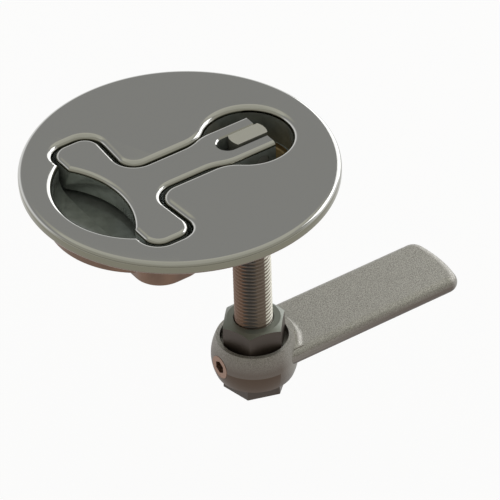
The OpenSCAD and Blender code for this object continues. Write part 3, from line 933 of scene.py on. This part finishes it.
@dataclass
class Handle:
    """The T handle with its scoop, stem, forked end and cam edge."""

    face: bpy.types.Material
    inside: bpy.types.Material
    plan: LatchPlan = field(default_factory=LatchPlan)
    head_z: float = -4.2
    pin_z: float = -1.15
    edge_round: float = 1.1
    scoop_undercut: float = 1.3
    cam_low: float = 3.6
    cam_high: float = 5.8
    slot_w: float = 5.3
    slot_reach: float = 8.3
    slot_break: float = 0.35
    pin_r: float = 1.62

    def cam_point(self, turn: float) -> Point:
        """A point of the cam's involute edge, beside the pin, when the handle has turned."""
        rate = (self.cam_high - self.cam_low) / 90
        depth = self.cam_high - rate * turn
        k = rate * 180 / math.pi
        return depth * sin(turn) - k * cos(turn), -depth * cos(turn) - k * sin(turn)

    def side(self) -> Outline:
        """Side view of the handle about the pin: head, ramp to the deep fork, and cam."""
        step = self.head_z - self.pin_z
        top = self.plan.flange_t - self.pin_z + 1
        far = -self.plan.handle_reach - 2
        cam = [self.cam_point(2.5 * i) for i in range(36, -1, -1)]
        return [(far, step), (far, top), (self.cam_low, top)] + cam + [(-3.8, -self.cam_high), (-7.6, step)]

    def profile_solid(self) -> bpy.types.Object:
        """Build the side view as a thick plate across the handle."""
        half = self.plan.arm_span / 2 + 1
        outline = [(x, z) for x, z in self.side()]
        plate = loft("side", [outline, outline], [-half, half])
        plate.data.transform(Matrix.Rotation(math.radians(90), 4, "X"))
        plate.data.transform(Matrix.Translation(Vector((self.plan.shaft_x, 0, self.pin_z)) * MM))
        return plate

    def build(self) -> bpy.types.Object:
        """Build the whole casting."""
        top = self.plan.flange_t
        r = self.edge_round
        turns = [90 * i / 10 for i in range(11)]
        layers = [self.plan.handle(0.0, self.scoop_undercut)] * 2
        layers += [self.plan.handle(r * (cos(t) - 1), 0.0) for t in turns]
        low = self.pin_z - self.cam_high - 1
        heights = [low, self.head_z] + [top - r + r * sin(t) for t in turns]
        body = loft("latch_handle", layers, heights)
        dress(body, self.inside)
        body.data.materials.append(self.face)
        combine(body, self.profile_solid(), Cut.KEEP)
        x = self.plan.shaft_x - self.slot_reach + self.slot_w / 2
        half = self.slot_w / 2
        combine(body, bar("slot_end", half, Vector((x, 0, low)), Vector((x, 0, top + 1))), Cut.TAKE)
        slot = block("slot", (x, -half, low), (x + self.slot_reach + 10, half, top + 1))
        combine(body, slot, Cut.TAKE)
        far = x + self.slot_reach + 10
        layers = []
        for d in (0.0, self.slot_break, self.slot_break):
            layers.append(arc(x, 0, half + d, 90, 270) + [(far, -half - d), (far, half + d)])
        lip = loft("slot_lip", layers, [top - self.slot_break, top, top + 1])
        combine(body, lip, Cut.TAKE, self.face)
        ear = self.plan.fork_w
        start = Vector((self.plan.shaft_x, -ear, self.pin_z))
        end = Vector((self.plan.shaft_x, ear, self.pin_z))
        combine(body, bar("pin_hole", self.pin_r, start, end, 64), Cut.TAKE)
        # The top's rounded edge takes the face finish and its painted reflection.
        buff(body, self.face, top - r - 0.02)
        return shade(body)


@dataclass
class Shaft:
    """The shaft with its flat tang and rolled 24-to-the-inch thread."""

    x: float = 19.4
    r: float = 4.72
    pitch: float = 25.4 / 24
    depth: float = 0.42
    thread_top: float = -11.0
    bottom: float = -73.47
    chamfer: float = 0.8
    tang_top: float = 3.25
    tang_z: float = -8.65
    tang_t: float = 4.3
    pin_z: float = -1.15
    pin_r: float = 1.65
    around: int = 72
    rows: int = 8

    def radius(self, z: float, turn: float) -> float:
        """Radius of the threaded bar.

        Args:
            z: height.
            turn: share of a full turn.

        Returns:
            The radius there, faded at both ends.
        """
        phase = (z / self.pitch - turn) % 1.0
        groove = 1 - abs(2 * phase - 1)
        cut = self.depth * min(1.0, max(0.0, 1.25 * groove - 0.125))
        fade = min(1.0, (self.thread_top - z) / self.pitch)
        r = self.r - cut * max(0.0, fade)
        return min(r, self.r - self.chamfer + (z - self.bottom))

    def thread(self) -> bpy.types.Object:
        """Build the threaded bar as one closed skin whose rows follow the helix."""
        step = self.pitch / self.rows
        count = int(math.ceil((self.thread_top - self.bottom) / step)) + self.rows
        points, faces = [], []
        for j in range(count + 1):
            for i in range(self.around):
                turn = i / self.around
                z = self.bottom + (j - self.rows + self.rows * turn) * step
                z = min(max(z, self.bottom), self.thread_top)
                r = self.radius(z, turn)
                points.append((self.x + r * cos(360 * turn), r * sin(360 * turn), z))
        for j in range(count):
            for i in range(self.around - 1):
                a = j * self.around + i
                faces.append([a, a + 1, a + 1 + self.around, a + self.around])
        for j in range(count - self.rows + 1):
            a = (j + self.rows) * self.around
            b = j * self.around + self.around - 1
            if j < count - self.rows:
                faces.append([b, a, a + self.around, b + self.around])
        last = count * self.around
        faces += [list(range(self.around)), list(range(last, last + self.around))]
        return solid("thread", points, faces)

    def build(self) -> bpy.types.Object:
        """Build the shaft: the threaded bar and the flat tang above it."""
        shank = [(0, self.thread_top - 0.4), (self.r, self.thread_top - 0.4), (self.r, self.tang_top), (0, self.tang_top)]
        body = turned("latch_shaft", shank, (self.x, 0.0), 128)
        for side in (-1, 1):
            inner, outer = side * self.tang_t / 2, side * 2 * self.r
            low = (self.x - 10, min(inner, outer), self.tang_z)
            high = (self.x + 10, max(inner, outer), self.tang_top + 1)
            combine(body, block("flat", low, high), Cut.TAKE)
        start = Vector((self.x, -10, self.pin_z))
        end = Vector((self.x, 10, self.pin_z))
        combine(body, bar("hole", self.pin_r, start, end, 64), Cut.TAKE)
        shade(body)
        thread = self.thread()
        for face in thread.data.polygons:
            face.use_smooth = True
        join(body, thread)
        return body


def join(body: bpy.types.Object, other: bpy.types.Object) -> None:
    """Add another mesh's faces to a body's own, without cutting either.

    Args:
        body: the piece that grows.
        other: the piece that is used up.
    """
    shape = bmesh.new()
    shape.from_mesh(body.data)
    shape.from_mesh(other.data)
    shape.to_mesh(body.data)
    shape.free()
    bpy.data.objects.remove(other)


@dataclass
class Pawl:
    """The pawl: a barrel hub with a recess for the upper nut, and its lever."""

    x: float = 19.4
    rim_z: float = -58.0
    hub_h: float = 10.5
    top_r: float = 9.5
    mid_r: float = 10.8
    low_r: float = 9.8
    seat_r: float = 8.5
    seat_depth: float = 2.25
    bore_r: float = 4.8125
    reach: float = 57.0
    width: float = 19.6
    thickness: float = 4.5
    drop: float = 2.2
    edge: float = 2.2
    corner: float = 3.4
    bow_r: float = 34.0
    fillet: float = 1.9
    fillet_end: float = 1.4
    fillet_taper: float = 4.2
    screw_depth: float = 5.35
    screw_r: float = 3.02

    def hub_radius(self, share: float) -> float:
        """Radius of the hub's barrel side at a share of its height, from the top."""
        middle = (self.top_r + self.low_r) / 2
        low = self.top_r + (self.low_r - self.top_r) * share
        return low + (self.mid_r - middle) * (1 - (2 * share - 1) ** 2)

    def lever_outline(self, d: float) -> Outline:
        """Outline of the lever, shrunk by d."""
        y = self.width / 2
        bow = self.reach - self.bow_r
        cy = y - self.corner
        cx = bow + math.sqrt((self.bow_r - self.corner) ** 2 - cy**2)
        a = math.degrees(math.atan2(cy, cx - bow))
        tip = arc(bow, 0, self.bow_r - d, 0, a) + arc(cx, cy, self.corner - d, a, 90, 1)
        half = tip + [(0.0, y - d)]
        outline = half + mirrored(half[1:])
        return [(px + self.x, py) for px, py in outline]

    def lever(self) -> bpy.types.Object:
        """Build the lever with its rounded edges."""
        r = self.edge
        top = self.rim_z - self.drop
        low = top - self.thickness
        turns = [90 * i / 8 for i in range(9)]
        layers = [self.lever_outline(r * (1 - sin(t))) for t in turns]
        heights = [low + r * (1 - cos(t)) for t in turns]
        layers += [self.lever_outline(r * (1 - cos(t))) for t in turns]
        heights += [top - r * (1 - sin(t)) for t in turns]
        return loft("lever", layers, heights)

    def blend(self) -> bpy.types.Object:
        """Build the fillet between the hub's side and the lever's top."""
        top = self.rim_z - self.drop + 0.02
        foot = self.hub_radius(self.drop / self.hub_h) + self.fillet
        turns = [90 * i / 12 for i in range(13)]
        profile = [(0.0, top - 2), (foot, top - 2)]
        profile += [(foot - self.fillet * sin(t), top + self.fillet * (1 - cos(t))) for t in turns]
        ring = turned("blend", profile + [(0.0, top + self.fillet)], (self.x, 0.0), 256)
        far = self.x + foot + 1
        layers, heights = [], []
        for i in range(9):
            y = self.width / 2 - self.fillet_end - self.fillet_taper * i / 8
            layers.append([(self.x, -y), (far, -y), (far, y), (self.x, y)])
            heights.append(top + (self.fillet + 0.1) * i / 8)
        limit = loft("limit", [layers[0]] + layers, [top - 1.5] + heights)
        return combine(ring, limit, Cut.KEEP)

    def build(self) -> bpy.types.Object:
        """Build the whole casting."""
        bottom = self.rim_z - self.hub_h
        shares = [i / 24 for i in range(24, -1, -1)]
        side = [(self.hub_radius(s), self.rim_z - self.hub_h * s) for s in shares]
        hub = turned("latch_pawl", [(0.0, bottom)] + side + [(0.0, self.rim_z)], (self.x, 0.0), 256)
        combine(hub, self.lever(), Cut.ADD)
        combine(hub, self.blend(), Cut.ADD)
        seat = Vector((self.x, 0, self.rim_z - self.seat_depth))
        combine(hub, bar("seat", self.seat_r, seat, Vector((self.x, 0, self.rim_z + 5)), 192), Cut.TAKE)
        low, high = Vector((self.x, 0, bottom - 1)), Vector((self.x, 0, self.rim_z + 1))
        combine(hub, bar("bore", self.bore_r, low, high, 128), Cut.TAKE)
        screw = self.rim_z - self.screw_depth
        start, end = Vector((self.x, 0, screw)), Vector((self.x - self.mid_r - 2, 0, screw))
        combine(hub, bar("screw_hole", self.screw_r, start, end, 64), Cut.TAKE)
        return shade(hub)


@dataclass
class Studio:
    """The photo's camera, a pale floor and soft lights."""

    azimuth: float = -33.357
    elevation: float = 38.183
    roll: float = -1.897
    place: tuple[float, float, float] = (-450.324, -712.914, 639.697)
    focal_px: float = 4500.0
    frame_px: float = 500.0
    sensor_mm: float = 36.0
    floor_z: float = -110.0

    def camera(self) -> None:
        """Set the camera at the photo's angle."""
        az, el, roll = (math.radians(v) for v in (self.azimuth, self.elevation, self.roll))
        back = Vector((math.sin(az) * math.cos(el), -math.cos(az) * math.cos(el), math.sin(el)))
        level = Vector((math.cos(az), math.sin(az), 0.0))
        upright = back.cross(level)
        right = level * math.cos(roll) + upright * math.sin(roll)
        up = upright * math.cos(roll) - level * math.sin(roll)
        data = bpy.data.cameras.new("camera")
        data.sensor_width = self.sensor_mm
        data.lens = self.focal_px * self.sensor_mm / self.frame_px
        data.clip_end = 20.0
        camera = bpy.data.objects.new("camera", data)
        turn = Matrix((right, up, back)).transposed().to_4x4()
        camera.matrix_world = Matrix.Translation(Vector(self.place) * MM) @ turn
        bpy.context.scene.collection.objects.link(camera)
        bpy.context.scene.camera = camera

    def floor(self) -> None:
        """Lay a pale floor that keeps the shadow and shows white."""
        floor = block("floor", (-3000, -3000, self.floor_z - 5), (3000, 3000, self.floor_z))
        material, tree, surface = blank_material("pale_floor")
        path = add_node(tree, "ShaderNodeLightPath")
        seen = add_node(tree, "ShaderNodeMath", {0: path.outputs["Is Camera Ray"], 1: path.outputs["Is Glossy Ray"]}, operation="MAXIMUM")
        seen = add_node(tree, "ShaderNodeMath", {0: seen.outputs[0], 1: path.outputs["Is Transmission Ray"]}, operation="MAXIMUM")
        share = add_node(tree, "ShaderNodeMath", {0: seen.outputs[0], 1: 0.93}, operation="MULTIPLY")
        paint = add_node(tree, "ShaderNodeBsdfDiffuse", {"Color": srgb("#F2F1EE")})
        glow = add_node(tree, "ShaderNodeEmission", {"Color": (1.0, 1.0, 1.0, 1.0), "Strength": 1.0})
        links = {0: share.outputs[0], 1: paint.outputs[0], 2: glow.outputs[0]}
        mix = add_node(tree, "ShaderNodeMixShader", links)
        tree.links.new(mix.outputs[0], surface)
        dress(floor, material)

    def world(self) -> None:
        """Light the scene from a white horizon and a grey ceiling."""
        world = bpy.data.worlds.new("studio")
        world.use_nodes = True
        bpy.context.scene.world = world
        tree = world.node_tree
        tree.nodes.clear()
        place = add_node(tree, "ShaderNodeTexCoord")
        parts = add_node(tree, "ShaderNodeSeparateXYZ", {"Vector": place.outputs["Generated"]})
        height = parts.outputs["Z"]
        white, grey, glow, zenith = srgb("#FFFFFF"), srgb("#A2A2A0"), srgb("#C3C2B4"), srgb("#AEAD9F")
        far = ramp(tree, height, [(0.2, white), (0.45, grey), (0.64, grey), (0.76, glow), (1.0, zenith)])
        low, wall, roof = srgb("#A6A498"), srgb("#B3B1A4"), srgb("#A6A598")
        near = ramp(tree, height, [(0.1, low), (0.3, wall), (0.7, roof), (1.0, zenith)])
        towards = {0: place.outputs["Generated"], 1: (-0.55, -0.835, 0.0)}
        side = add_node(tree, "ShaderNodeVectorMath", towards, operation="DOT_PRODUCT").outputs["Value"]
        colour = blended(tree, spread(tree, side, -0.15, 0.15), far, near)
        sky = add_node(tree, "ShaderNodeBackground", {"Color": colour, "Strength": 1.0})
        output = add_node(tree, "ShaderNodeOutputWorld")
        tree.links.new(sky.outputs[0], output.inputs["Surface"])

    def lamp(self, name: str, place: Point | tuple, size: float, power: float) -> None:
        """Hang a soft square lamp that looks at the latch.

        Args:
            name: the lamp's name.
            place: where it hangs, in millimetres.
            size: its side in millimetres.
            power: its power in watts.
        """
        data = bpy.data.lights.new(name, "AREA")
        data.shape = "SQUARE"
        data.size = size * MM
        data.energy = power
        lamp = bpy.data.objects.new(name, data)
        lamp.location = Vector(place) * MM
        lamp.rotation_euler = (Vector((10, 0, -20)) * MM - lamp.location).to_track_quat("-Z", "Y").to_euler()
        bpy.context.scene.collection.objects.link(lamp)

    def build(self) -> None:
        """Build the whole studio."""
        self.camera()
        self.floor()
        self.world()
        self.lamp("overhead", (0, 0, 1400), 2200, 1.6)
        self.lamp("side", (870, 400, 280), 700, 2.2)
        self.lamp("front_side", (900, -100, 500), 500, 1.6)
        settings = bpy.context.scene.view_settings
        settings.view_transform = "Standard"


def place_piece(
    obj: bpy.types.Object, node: str, body: str, material: bpy.types.Material | None = None
) -> None:
    """Let a modelled piece stand for its solid.

    Args:
        obj: the piece.
        node: the solid that it stands for.
        body: the body that it moves with.
        material: its material, or None where its faces have their own.
    """
    if material:
        dress(obj, material)
    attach(obj, body)
    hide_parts(node)
    log.info("%s stands for %s, %d faces", obj.name, node, len(obj.data.polygons))


def main() -> None:
    """Build the latch and its studio in order."""
    logging.basicConfig(level=logging.INFO, format="%(message)s")
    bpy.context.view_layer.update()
    Studio().build()
    polished = PolishedCasting().build()
    skin = CastSkin().build()
    inside = GroundCasting().build()
    # The warm amber of the pocket's round-end floor is painted reflection of the wall above it.
    end = GroundCasting("painted_warm_reflection_316", "#A08A60", "#8C7650", 0.4, 0.2).build()
    blasted = BlastedCasting().build()
    rolled = RolledBar().build()
    # The nuts' dark brown sides are painted reflection.
    hexagon = TurnedSteel("machined_316_hexagon", "#82867E", "#4A413B", 0.38, 0.5).build()
    pin = TurnedSteel("turned_316_pin", "#8E8E8C", "#8A8A88", 0.4, 0.2).build()
    screw = TurnedSteel("turned_316_screw", "#A08878", "#8A6A58", 0.3).build()
    rubber = PlainStuff("nitrile_rubber", "#262626", "#1C1C1C", 0.6).build()
    acetal = PlainStuff("turned_acetal", "#E4E3DC", "#D8D7CF", 0.4).build()
    place_piece(Housing(polished, skin, inside, end).build(), "housing", "housing")
    place_piece(Handle(polished, inside).build(), "handle", "handle")
    place_piece(Shaft().build(), "shaft", "shaft", rolled)
    place_piece(Pawl().build(), "pawl", "pawl", blasted)
    finishes = {
        "pivot_pin": pin,
        "upper_nut": hexagon,
        "lower_nut": hexagon,
        "set_screw": screw,
        "shaft_seal": rubber,
        "shaft_bush": acetal,
    }
    for node, material in finishes.items():
        dress(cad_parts[node], material)
        log.info("%s dressed as %s", node, material.name)


if __name__ == "__main__":
    main()
